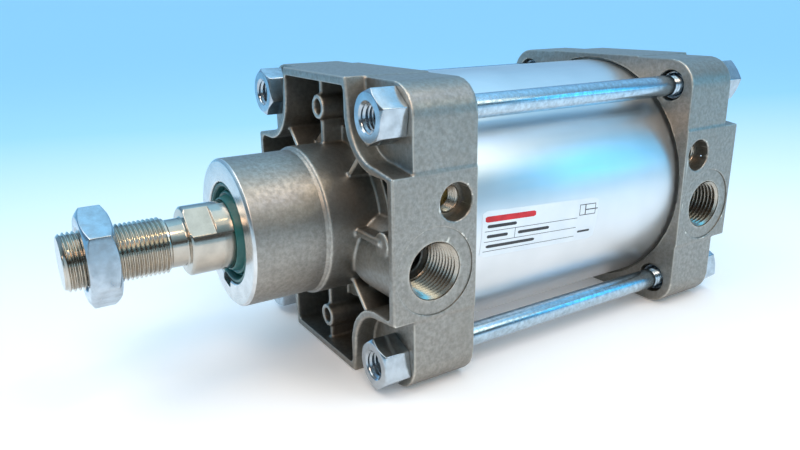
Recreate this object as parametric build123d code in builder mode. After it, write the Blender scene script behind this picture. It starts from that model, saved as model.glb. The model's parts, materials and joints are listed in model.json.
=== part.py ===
"""Double-acting pneumatic cylinder with four tie rods, bore 100 mm, stroke 50 mm.

The cylinder's axis lies along Y. The rod comes out towards -Y, +Z is up and the air ports face +X.
The origin is on the axis, in the plane of the front tie-rod nuts, which is the front mounting face.
The rod is drawn fully in. All sizes are in millimetres.
"""

import os
from math import cos, radians

from build123d import *

os.makedirs("parts", exist_ok=True)

# Sizes that the mounting standard fixes
bore = 100.0  # inside diameter of the barrel
stroke = 50.0
length_over_nuts = 138.0 + stroke  # from the front mounting face to the rear one
tie_rod_spacing = 89.0  # square pattern of the tie rods and mounting screws
screw_core_radius = 4.25  # tapping size of the M10 mounting thread
mounting_thread_depth = 18.0
pilot_radius = 27.5  # centring diameter at both ends
neck_length = 35.0
rear_pilot_length = 4.0
shoulder_distance = 51.0  # front mounting face to the shoulder behind the rod thread
rod_thread_length = 40.0
rod_radius = 12.5
rod_thread_radius = 10.0  # M20 x 1.5
across_rod_flats = 22.0
lock_nut_across_flats = 30.0
lock_nut_thickness = 10.0
port_core_radius = 9.32  # tapping size of the G1/2 port

# Heads
head_width = 112.0
head_corner_radius = 12.0
arm_proud = 0.4  # how far the side faces of the cross arms stand out from the corners
rim_y = 2.0  # front edge of the cross-shaped rim
pad_y = 10.4  # corner pads that the tie-rod nuts clamp
inner_y = 37.0  # face towards the barrel
spigot_y = 49.0  # end of the spigot that goes inside the barrel
floor_y = 27.0  # bottom of the moulded pockets
arm_half_width = 26.0  # of a cross arm at the head's side
nut_recess_radius = 16.75  # curved wall round each tie-rod nut
wall = 3.0
hub_radius = 28.7  # cast root of the neck
collar_radius = 35.0  # thicker ring round the cushion bore, low in the pockets
collar_y = 14.0
neck_root_y = -6.5  # where the machined neck meets its cast root
neck_root_slope = 0.6
rib_thickness = 1.8
rib_y = 5.4  # front edge of the ribs
rib_root_overlap = 2.0  # how far the ribs run into the walls at their ends, both ends together
rib_boss_distance = 42.8  # from the axis to the small drilled boss on a rib
rib_boss_radius = 4.7
rib_boss_y = 4.0
rib_boss_hole_radius = 2.9
rib_boss_hole_depth = 4.0
diagonal_rib_middle = 36.0
diagonal_rib_length = 17.0
rim_chamfer = 0.5
pocket_fillet = 2.0
pilot_chamfer = 1.0
neck_chamfer = 1.2
neck_bore_gap = 0.5  # between the rod and the head beside the bush
pry_notch_angle = 102.0  # notch for prying the wiper out, turned about the axis
pry_notch_size = (4.4, 4.0, 7.0)
pry_notch_offset = (0.5, 1.0)  # its middle, out from the seat and in from the end face
centre_recess_radius = 16.0  # shallow recess in the middle of the rear pilot
centre_recess_floor_radius = 14.0
centre_recess_depth = 7.0

# Ports and cushion screws, measured from the nearer mounting face
port_y = 19.3
port_z = -9.0
port_depth = 19.0
port_seat_radius = 16.0
port_seat_depth = 0.4
port_chamfer = 1.5
port_passage_radius = 7.0
port_passage_end_x = 15.0
port_bulge_radius = 16.0
bulge_root_depth = 4.0  # how far the bulges reach into the neck root
cushion_screw_y = 28.0
cushion_screw_z = 14.6
cushion_screw_radius = 4.55
cushion_boss_radius = 7.2
counterbore_radius = 6.75
counterbore_x = 50.0
needle_seat_x = 37.0
needle_passage_radius = 2.0
needle_passage_end_x = 19.0
ejector_pad_radius = 4.4  # round pad on the front of the port's bulge
ejector_pad_x = 44.7
ejector_pad_z = 0.5
ejector_pad_y = 4.2
ejector_pad_root_y = 14.0
ridge_radius = 1.5  # short round ridge beside the pad
ridge_start_x = 29.5
ridge_y = 4.6
ridge_z = 0.9
ridge_root_y = 9.6

# Barrel, seals and piston
barrel_radius = 53.0
barrel_recess = 2.0  # how far each end of the barrel is let into its head
barrel_recess_gap = 0.9
barrel_chamfer = 0.8
spigot_clearance = 0.1
cushion_bore_radius = 21.0
cushion_sleeve_radius = 20.0
cushion_bore_y = 6.0
barrel_groove = (41.0, 45.0)  # start and end of the O-ring groove on the spigot
barrel_groove_radius = 46.6
cushion_groove = (41.0, 46.0)
cushion_groove_radius = 25.0
wiper_radius = 19.0
wiper_depth = 7.5
bush_radius = 14.5
bush_start_y = -24.0
bush_end_y = 4.0
bush_chamfer = 0.6
running_gap = 0.05
seat_gap = 0.05  # round pieces pressed or stretched into their seats
slide_gap = 0.02  # round pieces slid onto the rod's spigot
groove_gap = 0.1  # beside a ring in its groove
seal_gap = 0.06
piston_end_gap = 0.3  # left between the piston and a spigot at each end of the stroke
piston_radius = 49.4
piston_seal_depth = 5.9
rod_spigot_radius = 9.0
sleeve_length = 22.0

# Tie rods and their nuts
tie_rod_radius = 4.45
tie_rod_thread_radius = 5.0  # rolled M10 thread
tie_rod_end_gap = 0.5  # left between a tie rod and the end of the mounting thread
nut_across_flats = 17.0
nut_shank_radius = 6.4
nut_hole_radius = 6.5
nut_chamfer = 1.0
nut_face_inset = 0.2
thread_mouth_widening = 0.9
thread_mouth_depth = 0.45
nut_shank_end_y = 35.0

half_width = head_width / 2
overreach = 2.0  # how far a cutting shape runs past the surface it leaves through
nut_offset = tie_rod_spacing / 2
piston_length = length_over_nuts - 2 * spigot_y - stroke - 2 * piston_end_gap
piston_rear_y = length_over_nuts - spigot_y - piston_end_gap
piston_front_y = piston_rear_y - piston_length
piston_joint_y = piston_front_y + piston_length / 2
corners = [(sx * nut_offset, sz * nut_offset) for sx in (1, -1) for sz in (1, -1)]
middle = Plane.XZ.offset(-length_over_nuts / 2)


def facing(y):
    """The plane across the cylinder at distance y behind the front mounting face."""
    return Plane.XZ.offset(-y)


def save(piece, name):
    """Labels a finished piece and writes it."""
    piece.label = name
    export_step(piece, f"parts/{name}.step")


def along_axis(radius, start, end, x=0.0, z=0.0, mode=Mode.ADD):
    """A cylinder parallel to the axis, from y = start to y = end."""
    with Locations((x, (start + end) / 2, z)):
        Cylinder(radius, end - start, rotation=(90, 0, 0), mode=mode)


def across(radius, start, end, y, z, mode=Mode.ADD):
    """A cylinder parallel to X, from x = start to x = end."""
    with Locations(((start + end) / 2, y, z)):
        Cylinder(radius, end - start, rotation=(0, 90, 0), mode=mode)


def turned(*outline):
    """The sketch of a turned piece: corners given as (radius, y)."""
    with BuildSketch(Plane.XY) as profile:
        with BuildLine():
            Polyline(*outline, close=True)
        make_face()
    return profile.sketch


def ring(inner, outer, start, end):
    """The sketch of a plain turned ring."""
    return turned((inner, start), (outer, start), (outer, end), (inner, end))


def o_ring(radius, thickness, y):
    """The sketch of an O-ring's section, with its middle at that radius."""
    with BuildSketch(Plane.XY) as profile:
        with Locations((radius, y)):
            Circle(thickness / 2)
    return profile.sketch


def head_outline(y):
    """The head's outer shape: a rounded square with four slightly proud cross arms."""
    with BuildSketch(facing(y)) as outline:
        side = head_width - 2 * arm_proud
        RectangleRounded(side, side, head_corner_radius - arm_proud)
        Rectangle(head_width, 2 * arm_half_width)
        Rectangle(2 * arm_half_width, head_width)
    return outline.sketch


def nut_recess(y):
    """The open corner round each tie-rod nut: a quarter arc with slightly flared sides."""
    outside = half_width + overreach
    near = nut_offset - nut_recess_radius
    with BuildSketch(facing(y)) as recess:
        with BuildLine():
            Polyline(
                (nut_offset, near),
                (half_width, arm_half_width),
                (outside, arm_half_width),
                (outside, outside),
                (arm_half_width, outside),
                (arm_half_width, half_width),
                (near, nut_offset),
            )
            RadiusArc((near, nut_offset), (nut_offset, near), -nut_recess_radius)
        make_face()
        mirror(about=Plane.YZ)
        mirror(about=Plane.XZ)
    return recess.sketch


def cross_pocket(y):
    """The cross-shaped hollow of the head, one wall thickness inside its rim."""
    arm = nut_offset - nut_recess_radius - wall
    with BuildSketch(facing(y)) as pocket:
        Rectangle(head_width - 2 * wall, 2 * arm)
        Rectangle(2 * arm, head_width - 2 * wall)
        Rectangle(2 * nut_offset, 2 * nut_offset)
        with Locations(*corners):
            Circle(nut_recess_radius + wall, mode=Mode.SUBTRACT)
            Rectangle(2 * wall, 2 * wall, mode=Mode.SUBTRACT)
        fillet(pocket.vertices().group_by(SortBy.DISTANCE)[-1], pocket_fillet)
    return pocket.sketch


def head_casting():
    """The casting that both heads share, placed as the front one."""
    with BuildPart() as casting:
        extrude(head_outline(rim_y), amount=rim_y - inner_y)
        extrude(nut_recess(rim_y), amount=rim_y - pad_y, mode=Mode.SUBTRACT)
        front_edges = casting.faces().filter_by(Axis.Y).group_by(Axis.Y)[0].edges()
        chamfer(front_edges, rim_chamfer)
        extrude(cross_pocket(rim_y), amount=rim_y - floor_y, mode=Mode.SUBTRACT)

        # Neck root and the ring round the cushion bore
        along_axis(hub_radius, rim_y, inner_y)
        along_axis(collar_radius, collar_y, inner_y)

        # Ribs: one in the middle of each plain arm, with a small drilled boss, and four diagonal
        inside = half_width - wall / 2
        rib_depth = inner_y - rib_y
        rib_middle_y = (rib_y + inner_y) / 2
        for angle in (0, 90, 270):
            with Locations(Location((0, 0, 0), (0, angle, 0))):
                with Locations((-(hub_radius + inside) / 2, rib_middle_y, 0)):
                    Box(inside - hub_radius + rib_root_overlap, rib_depth, rib_thickness)
                with Locations((-rib_boss_distance, (rib_boss_y + inner_y) / 2, 0)):
                    Cylinder(rib_boss_radius, inner_y - rib_boss_y, rotation=(90, 0, 0))
                with Locations((-rib_boss_distance, rib_boss_y, 0)):
                    hole_length = 2 * rib_boss_hole_depth
                    Cylinder(rib_boss_hole_radius, hole_length, rotation=(90, 0, 0), mode=Mode.SUBTRACT)
        for angle in (45, 135, 225, 315):
            with Locations(Location((0, 0, 0), (0, angle, 0))):
                with Locations((diagonal_rib_middle, rib_middle_y, 0)):
                    Box(diagonal_rib_length, rib_depth, rib_thickness)

        # Bulges round the port drilling and the cushion screw, an ejector pad and a ridge
        bulge_x = hub_radius - bulge_root_depth
        across(port_bulge_radius, bulge_x, inside, port_y, port_z)
        across(cushion_boss_radius, bulge_x, inside, cushion_screw_y, cushion_screw_z)
        along_axis(ejector_pad_radius, ejector_pad_y, ejector_pad_root_y, ejector_pad_x, ejector_pad_z)
        across(ridge_radius, ridge_start_x, ejector_pad_x, ridge_y, ridge_z)
        with Locations(((ridge_start_x + ejector_pad_x) / 2, (ridge_y + ridge_root_y) / 2, ridge_z)):
            Box(ejector_pad_x - ridge_start_x, ridge_root_y - ridge_y, 2 * ridge_radius)

        # Spigot for the barrel, with the groove of its O-ring and the recess of the barrel's end
        spigot_radius = bore / 2 - spigot_clearance
        along_axis(spigot_radius, inner_y, spigot_y)
        recess_radius = barrel_radius + barrel_recess_gap
        recess = ring(spigot_radius, recess_radius, inner_y - barrel_recess, inner_y + overreach)
        revolve(recess, axis=Axis.Y, mode=Mode.SUBTRACT)
        groove = ring(barrel_groove_radius, spigot_radius + overreach, *barrel_groove)
        revolve(groove, axis=Axis.Y, mode=Mode.SUBTRACT)

        # Cushion bore and the groove of its seal
        along_axis(cushion_bore_radius, cushion_bore_y, spigot_y, mode=Mode.SUBTRACT)
        along_axis(cushion_groove_radius, *cushion_groove, mode=Mode.SUBTRACT)

        # Tie-rod holes
        for x, z in corners:
            along_axis(nut_hole_radius, 0, inner_y, x, z, mode=Mode.SUBTRACT)

        # Port: seat, tapped hole with a chamfered mouth, passage to the cushion bore
        seat_x = half_width - port_seat_depth
        across(port_seat_radius, seat_x, half_width + overreach, port_y, port_z, Mode.SUBTRACT)
        across(port_core_radius, seat_x - port_depth, seat_x, port_y, port_z, Mode.SUBTRACT)
        across(port_passage_radius, port_passage_end_x, seat_x, port_y, port_z, Mode.SUBTRACT)
        mouth_radius = port_core_radius + port_chamfer
        with Locations((seat_x - port_chamfer / 2, port_y, port_z)):
            Cone(port_core_radius, mouth_radius, port_chamfer, rotation=(0, 90, 0), mode=Mode.SUBTRACT)

        # Cushion screw: counterbore, thread, needle seat
        for radius, start, end in (
            (counterbore_radius, counterbore_x, half_width + overreach),
            (cushion_screw_radius + running_gap, needle_seat_x, counterbore_x),
            (needle_passage_radius, needle_passage_end_x, needle_seat_x),
        ):
            across(radius, start, end, cushion_screw_y, cushion_screw_z, Mode.SUBTRACT)
    return casting.part


shared_casting = head_casting()

# Front head: the shared casting with the neck that guides the rod
with BuildPart() as front_head:
    add(shared_casting)
    neck = turned(
        (rod_radius, cushion_bore_y),
        (rod_radius, -neck_length),
        (pilot_radius - neck_chamfer, -neck_length),
        (pilot_radius, neck_chamfer - neck_length),
        (pilot_radius, neck_root_y - neck_root_slope),
        (hub_radius, neck_root_y),
        (hub_radius, cushion_bore_y),
    )
    revolve(neck, axis=Axis.Y)
    along_axis(wiper_radius, -neck_length, wiper_depth - neck_length, mode=Mode.SUBTRACT)
    along_axis(rod_radius + neck_bore_gap, -neck_length, cushion_bore_y, mode=Mode.SUBTRACT)
    along_axis(bush_radius, bush_start_y, bush_end_y, mode=Mode.SUBTRACT)
    with Locations(Location((0, 0, 0), (0, pry_notch_angle, 0))):
        with Locations((wiper_radius + pry_notch_offset[0], pry_notch_offset[1] - neck_length, 0)):
            Box(*pry_notch_size, mode=Mode.SUBTRACT)
save(front_head.part, "front_head")

# Rear head: the same casting turned end for end, closed and with a short pilot
with BuildPart() as rear_head:
    mirror(shared_casting, about=middle)
    rear_face = length_over_nuts
    pilot_end = rear_face + rear_pilot_length
    pilot = turned(
        (0, rear_face - cushion_bore_y),
        (hub_radius, rear_face - cushion_bore_y),
        (hub_radius, rear_face - rim_y),
        (pilot_radius, rear_face - rim_y),
        (pilot_radius, pilot_end - pilot_chamfer),
        (pilot_radius - pilot_chamfer, pilot_end),
        (centre_recess_radius, pilot_end),
        (centre_recess_floor_radius, pilot_end - centre_recess_depth),
        (0, pilot_end - centre_recess_depth),
    )
    revolve(pilot, axis=Axis.Y)
save(rear_head.part, "rear_head")

# Barrel
with BuildPart() as barrel:
    barrel_start = inner_y - barrel_recess
    revolve(ring(bore / 2, barrel_radius, barrel_start, length_over_nuts - barrel_start), axis=Axis.Y)
    chamfer(barrel.edges().filter_by(GeomType.CIRCLE).group_by(SortBy.RADIUS)[0], barrel_chamfer)
save(barrel.part, "barrel")


def sleeve_nut(turn):
    """A tie-rod nut: hexagon outside the head, round shank inside it, threaded right through."""
    with BuildPart() as nut:
        with BuildSketch(facing(0)):
            RegularPolygon(nut_across_flats / 2, 6, major_radius=False, rotation=turn)
        extrude(amount=-pad_y)
        corner_radius = nut_across_flats / 2 / cos(radians(30))
        envelope = turned(
            (0, 0),
            (nut_across_flats / 2 - nut_face_inset, 0),
            (corner_radius, nut_chamfer),
            (corner_radius, pad_y),
            (0, pad_y),
        )
        revolve(envelope, axis=Axis.Y, mode=Mode.INTERSECT)
        along_axis(nut_shank_radius, pad_y, nut_shank_end_y)
        along_axis(screw_core_radius, 0, mounting_thread_depth, mode=Mode.SUBTRACT)
        rod_bore = tie_rod_thread_radius + running_gap
        along_axis(rod_bore, mounting_thread_depth, nut_shank_end_y, mode=Mode.SUBTRACT)
        mouth_radius = screw_core_radius + thread_mouth_widening
        mouth = turned(
            (0, 0),
            (mouth_radius, 0),
            (screw_core_radius, thread_mouth_depth),
            (0, thread_mouth_depth),
        )
        revolve(mouth, axis=Axis.Y, mode=Mode.SUBTRACT)
    return nut.part


# Tie-rod nuts, each stopped at its own angle
nut_turns = (22, 38, 40, 7)
with BuildPart() as front_tie_rod_nuts:
    for (x, z), turn in zip(corners, nut_turns):
        add(Pos(x, 0, z) * sleeve_nut(turn))
save(front_tie_rod_nuts.part, "front_tie_rod_nuts")

with BuildPart() as rear_tie_rod_nuts:
    for (x, z), turn in zip(corners, reversed(nut_turns)):
        add(Pos(x, 0, z) * sleeve_nut(turn))
    mirror(about=middle, mode=Mode.REPLACE)
save(rear_tie_rod_nuts.part, "rear_tie_rod_nuts")

# Tie rods: threaded ends inside the nuts, plain shank between the heads
with BuildPart() as tie_rods:
    thread_start = mounting_thread_depth + tie_rod_end_gap
    for x, z in corners:
        along_axis(tie_rod_radius, thread_start, length_over_nuts - thread_start, x, z)
        along_axis(tie_rod_thread_radius, thread_start, nut_shank_end_y, x, z)
        rear_start = length_over_nuts - nut_shank_end_y
        along_axis(tie_rod_thread_radius, rear_start, length_over_nuts - thread_start, x, z)
save(tie_rods.part, "tie_rods")

# Piston rod: thread, relief, wrench flats, ground rod, spigot for the piston, threaded tail
thread_tip_y = -shoulder_distance - rod_thread_length
thread_tip_chamfer = 1.2
relief_depth = 1.4
relief_length = 5.6
shoulder_chamfer = 0.8
flat_length = 9.0
flat_turns = (-50, 130)  # the two flats, turned about the axis
flat_middle_y = flat_length / 2 - overreach / 2 - shoulder_distance  # of the shape that cuts a flat
tail_radius = 8.0
tail_length = 18.0
tail_chamfer = 1.0
sleeve_nut_seat = 8.0  # thickness of the rear sleeve's floor, under the piston nut
sleeve_start_y = piston_front_y - sleeve_length
nut_seat_y = piston_rear_y + sleeve_nut_seat
with BuildPart() as piston_rod:
    rod_outline = turned(
        (0, thread_tip_y),
        (rod_thread_radius - thread_tip_chamfer, thread_tip_y),
        (rod_thread_radius, thread_tip_y + thread_tip_chamfer),
        (rod_thread_radius, -shoulder_distance - relief_length - relief_depth),
        (rod_thread_radius - relief_depth, -shoulder_distance - relief_length),
        (rod_thread_radius - relief_depth, -shoulder_distance),
        (rod_radius - shoulder_chamfer, -shoulder_distance),
        (rod_radius, shoulder_chamfer - shoulder_distance),
        (rod_radius, sleeve_start_y),
        (rod_spigot_radius, sleeve_start_y),
        (rod_spigot_radius, nut_seat_y),
        (tail_radius, nut_seat_y),
        (tail_radius, piston_rear_y + tail_length - tail_chamfer),
        (tail_radius - tail_chamfer, piston_rear_y + tail_length),
        (0, piston_rear_y + tail_length),
    )
    revolve(rod_outline, axis=Axis.Y)
    for angle in flat_turns:
        with Locations(Location((0, 0, 0), (0, angle, 0))):
            with Locations((across_rod_flats / 2 + overreach, flat_middle_y, 0)):
                Box(2 * overreach, flat_length + overreach, 2 * rod_radius, mode=Mode.SUBTRACT)
save(piston_rod.part, "piston_rod")

# Lock nut on the rod thread, chamfered on both sides
lock_nut_y = -84.5
lock_nut_turn = 38.0
lock_nut_chamfer = 1.7
lock_nut_face_inset = 0.5
lock_nut_mouth_chamfer = 0.9
with BuildPart() as rod_lock_nut:
    with BuildSketch(facing(lock_nut_y)):
        RegularPolygon(lock_nut_across_flats / 2, 6, major_radius=False, rotation=lock_nut_turn)
    extrude(amount=-lock_nut_thickness)
    corner_radius = lock_nut_across_flats / 2 / cos(radians(30))
    face_radius = lock_nut_across_flats / 2 - lock_nut_face_inset
    envelope = turned(
        (0, lock_nut_y),
        (face_radius, lock_nut_y),
        (corner_radius, lock_nut_y + lock_nut_chamfer),
        (corner_radius, lock_nut_y + lock_nut_thickness - lock_nut_chamfer),
        (face_radius, lock_nut_y + lock_nut_thickness),
        (0, lock_nut_y + lock_nut_thickness),
    )
    revolve(envelope, axis=Axis.Y, mode=Mode.INTERSECT)
    nut_bore = rod_thread_radius + running_gap
    along_axis(nut_bore, lock_nut_y, lock_nut_y + lock_nut_thickness, mode=Mode.SUBTRACT)
    chamfer(rod_lock_nut.edges().filter_by(GeomType.CIRCLE).group_by(SortBy.RADIUS)[0], lock_nut_mouth_chamfer)
save(rod_lock_nut.part, "rod_lock_nut")

# Combined wiper and rod seal
with BuildPart() as rod_wiper_seal:
    lip_radius = rod_radius + seal_gap
    seal_end_y = wiper_depth - neck_length
    wiper_inset = 0.3
    wiper_inner_radius = 14.4
    inner_lip = (0.6, 1.6, 2.6)  # start, end and root of the pressure lip, from the inner end
    outer_lip = (0.2, 0.9)  # start and end of the wiping lip, proud of the neck's end
    outer_lip_root = 3.0
    outer_lip_radius = 13.4
    wiper_groove_radius = 15.2
    wiper_groove_depth = 1.4
    wiper_face_radius = 16.0
    seal_outline = turned(
        (wiper_radius, wiper_inset - neck_length),
        (wiper_radius, seal_end_y),
        (wiper_inner_radius, seal_end_y),
        (lip_radius, seal_end_y - inner_lip[0]),
        (lip_radius, seal_end_y - inner_lip[1]),
        (wiper_inner_radius, seal_end_y - inner_lip[2]),
        (wiper_inner_radius, outer_lip_root - neck_length),
        (lip_radius, -neck_length - outer_lip[0]),
        (lip_radius, -neck_length - outer_lip[1]),
        (outer_lip_radius, -neck_length - outer_lip[1]),
        (wiper_groove_radius, wiper_groove_depth - neck_length),
        (wiper_face_radius, wiper_inset - neck_length),
    )
    revolve(seal_outline, axis=Axis.Y)
save(rod_wiper_seal.part, "rod_wiper_seal")

# Plain bearing that guides the rod
with BuildPart() as rod_bearing_bush:
    revolve(ring(rod_radius + running_gap, bush_radius, bush_start_y, bush_end_y), axis=Axis.Y)
    chamfer(rod_bearing_bush.edges().filter_by(GeomType.CIRCLE).group_by(SortBy.RADIUS)[0], bush_chamfer)
save(rod_bearing_bush.part, "rod_bearing_bush")

# Piston: two halves with lip-seal grooves, a wear ring over their joint and a magnet between them
seal_root = bore / 2 - piston_seal_depth
piston_chamfer = 1.0
wear_root = 47.4
magnet_inner = 36.0
magnet_outer = 44.0
magnet_depth = 6.0
seal_groove = (3.0, 9.0)  # start and end, from the piston's outer face
wear_half = 4.0
wear_ring_gap = 1.5
rod_o_ring_radius = 10.32
rod_o_ring_thickness = 2.5
rod_o_ring_y = piston_joint_y - 12.5
rod_groove_radius = 11.6
rod_groove_width = 3.0


def piston_half(outer_face, direction):
    """One half of the piston, from its outer face to the joint."""

    def at(distance):
        return outer_face + direction * distance

    half_length = piston_length / 2
    with BuildPart() as half:
        outline = turned(
            (rod_spigot_radius + slide_gap, at(0)),
            (piston_radius - piston_chamfer, at(0)),
            (piston_radius, at(piston_chamfer)),
            (piston_radius, at(seal_groove[0])),
            (seal_root, at(seal_groove[0])),
            (seal_root, at(seal_groove[1])),
            (piston_radius, at(seal_groove[1])),
            (piston_radius, at(half_length - wear_half)),
            (wear_root, at(half_length - wear_half)),
            (wear_root, at(half_length)),
            (rod_spigot_radius + slide_gap, at(half_length)),
        )
        revolve(outline, axis=Axis.Y)
    return half.part


with BuildPart() as piston_front_half:
    add(piston_half(piston_front_y, 1))
    magnet_pocket = ring(magnet_inner, magnet_outer, piston_joint_y - magnet_depth, piston_joint_y)
    revolve(magnet_pocket, axis=Axis.Y, mode=Mode.SUBTRACT)
    groove_start = rod_o_ring_y - rod_groove_width / 2
    groove_end = rod_o_ring_y + rod_groove_width / 2
    o_ring_groove = ring(rod_spigot_radius - overreach, rod_groove_radius, groove_start, groove_end)
    revolve(o_ring_groove, axis=Axis.Y, mode=Mode.SUBTRACT)
save(piston_front_half.part, "piston_front_half")

with BuildPart() as piston_rear_half:
    add(piston_half(piston_rear_y, -1))
save(piston_rear_half.part, "piston_rear_half")

with BuildPart() as magnet_ring:
    revolve(
        ring(magnet_inner + groove_gap, magnet_outer - groove_gap, piston_joint_y - magnet_depth, piston_joint_y),
        axis=Axis.Y,
    )
save(magnet_ring.part, "magnet_ring")

with BuildPart() as piston_wear_ring:
    wear_start = piston_joint_y - wear_half + groove_gap
    wear_end = piston_joint_y + wear_half - groove_gap
    revolve(ring(wear_root + seat_gap, bore / 2 - running_gap, wear_start, wear_end), axis=Axis.Y)
    # The ring is split so that it can be sprung over the piston
    with Locations((0, piston_joint_y, bore / 2)):
        Box(wear_ring_gap, 2 * (wear_half + overreach), 10, mode=Mode.SUBTRACT)
save(piston_wear_ring.part, "piston_wear_ring")

# Lip seals of the piston, each opening towards its own chamber
seal_inner_lip = 2.0
notch_radius = seal_root + 3.0
seal_notch_depth = 3.0
seal_lip_bevel = 1.2
seal_lip = (0.5, 1.8)  # start and end of the lip's contact with the barrel
seal_back_gap = 0.9
for name, outer_face, direction in (
    ("piston_front_seal", piston_front_y, 1),
    ("piston_rear_seal", piston_rear_y, -1),
):
    groove_start = outer_face + direction * (seal_groove[0] + groove_gap)
    groove_end = outer_face + direction * (seal_groove[1] - groove_gap)
    with BuildPart() as piston_seal:
        lip_seal = turned(
            (seal_root + seat_gap, groove_start),
            (seal_root + seal_inner_lip, groove_start),
            (notch_radius, groove_start + direction * seal_notch_depth),
            (bore / 2 - seal_lip_bevel, groove_start),
            (bore / 2 - seal_gap, groove_start + direction * seal_lip[0]),
            (bore / 2 - seal_gap, groove_start + direction * seal_lip[1]),
            (bore / 2 - seal_back_gap, groove_end),
            (seal_root + seat_gap, groove_end),
        )
        revolve(lip_seal, axis=Axis.Y)
    save(piston_seal.part, name)

# O-ring that seals the piston to the rod
with BuildPart() as piston_o_ring:
    revolve(o_ring(rod_o_ring_radius, rod_o_ring_thickness, rod_o_ring_y), axis=Axis.Y)
save(piston_o_ring.part, "piston_o_ring")

# Cushion sleeves: the front one is clamped by the rod's shoulder, the rear one by the nut inside it
sleeve_taper = 2.0
sleeve_taper_length = 4.0
sleeve_cup_radius = 15.0  # room for the piston nut
with BuildPart() as front_cushion_sleeve:
    sleeve_bore = rod_spigot_radius + slide_gap
    front_sleeve = turned(
        (sleeve_bore, sleeve_start_y),
        (cushion_sleeve_radius - sleeve_taper, sleeve_start_y),
        (cushion_sleeve_radius, sleeve_start_y + sleeve_taper_length),
        (cushion_sleeve_radius, piston_front_y),
        (sleeve_bore, piston_front_y),
    )
    revolve(front_sleeve, axis=Axis.Y)
save(front_cushion_sleeve.part, "front_cushion_sleeve")

sleeve_end_y = piston_rear_y + sleeve_length + 2.0
with BuildPart() as rear_cushion_sleeve:
    rear_sleeve = turned(
        (sleeve_bore, piston_rear_y),
        (cushion_sleeve_radius, piston_rear_y),
        (cushion_sleeve_radius, sleeve_end_y - sleeve_taper_length),
        (cushion_sleeve_radius - sleeve_taper, sleeve_end_y),
        (sleeve_cup_radius, sleeve_end_y),
        (sleeve_cup_radius, nut_seat_y),
        (sleeve_bore, nut_seat_y),
    )
    revolve(rear_sleeve, axis=Axis.Y)
save(rear_cushion_sleeve.part, "rear_cushion_sleeve")

# Nut that clamps sleeves and piston on the rod
piston_nut_across_flats = 24.0
piston_nut_thickness = 8.0
with BuildPart() as piston_nut:
    with BuildSketch(facing(nut_seat_y)):
        RegularPolygon(piston_nut_across_flats / 2, 6, major_radius=False)
        Circle(tail_radius + running_gap, mode=Mode.SUBTRACT)
    extrude(amount=-piston_nut_thickness)
save(piston_nut.part, "piston_nut")

# Seals and cushion screws that sit in the heads, front and rear alike
cushion_seal_outer = cushion_groove_radius - groove_gap
cushion_seal_y = (cushion_groove[0] + groove_gap, cushion_groove[1] - groove_gap)
cushion_seal_inner = 21.5
cushion_lip_y = (42.6, 43.6)
barrel_o_ring_radius = 48.27
barrel_o_ring_thickness = 3.3
screw_end_x = 45.5
screw_slot_width = 1.2
screw_slot_depth = 1.5
screw_neck_x = (39.3, 41.7)  # start and end of the neck that holds the O-ring
screw_neck_radius = 2.6
screw_collar_x = 38.0
needle_tip_x = 33.0
needle_radius = 1.7
screw_o_ring_thickness = 1.8
screw_o_ring_gap = 0.12
for name, rear in (("front", False), ("rear", True)):
    with BuildPart() as cushion_seal:
        revolve(
            turned(
                (cushion_seal_outer, cushion_seal_y[0]),
                (cushion_seal_outer, cushion_seal_y[1]),
                (cushion_seal_inner, cushion_seal_y[1]),
                (cushion_sleeve_radius + seal_gap, cushion_lip_y[1]),
                (cushion_sleeve_radius + seal_gap, cushion_lip_y[0]),
                (cushion_seal_inner, cushion_seal_y[0]),
            ),
            axis=Axis.Y,
        )
        if rear:
            mirror(about=middle, mode=Mode.REPLACE)
    save(cushion_seal.part, f"{name}_cushion_seal")

    with BuildPart() as barrel_o_ring:
        groove_middle_y = (barrel_groove[0] + barrel_groove[1]) / 2
        revolve(o_ring(barrel_o_ring_radius, barrel_o_ring_thickness, groove_middle_y), axis=Axis.Y)
        if rear:
            mirror(about=middle, mode=Mode.REPLACE)
    save(barrel_o_ring.part, f"{name}_barrel_o_ring")

    # Cushion screw: slotted head, thread, O-ring neck and needle
    with BuildPart() as cushion_screw:
        y, z = cushion_screw_y, cushion_screw_z
        across(cushion_screw_radius, screw_neck_x[1], screw_end_x, y, z)
        across(screw_neck_radius, *screw_neck_x, y, z)
        across(cushion_screw_radius, screw_collar_x, screw_neck_x[0], y, z)
        across(needle_radius, needle_tip_x, screw_collar_x, y, z)
        with Locations((screw_end_x, y, z)):
            Box(2 * screw_slot_depth, screw_slot_width, 3 * cushion_screw_radius, mode=Mode.SUBTRACT)
        if rear:
            mirror(about=middle, mode=Mode.REPLACE)
    save(cushion_screw.part, f"{name}_cushion_screw")

    with BuildPart() as screw_o_ring:
        with BuildSketch(Plane.XZ.offset(-cushion_screw_y)):
            ring_distance = screw_neck_radius + screw_o_ring_thickness / 2 + screw_o_ring_gap
            with Locations((sum(screw_neck_x) / 2, cushion_screw_z + ring_distance)):
                Circle(screw_o_ring_thickness / 2)
        screw_axis = Axis((0, cushion_screw_y, cushion_screw_z), (1, 0, 0))
        revolve(axis=screw_axis)
        if rear:
            mirror(about=middle, mode=Mode.REPLACE)
    save(screw_o_ring.part, f"{name}_cushion_screw_o_ring")

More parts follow.
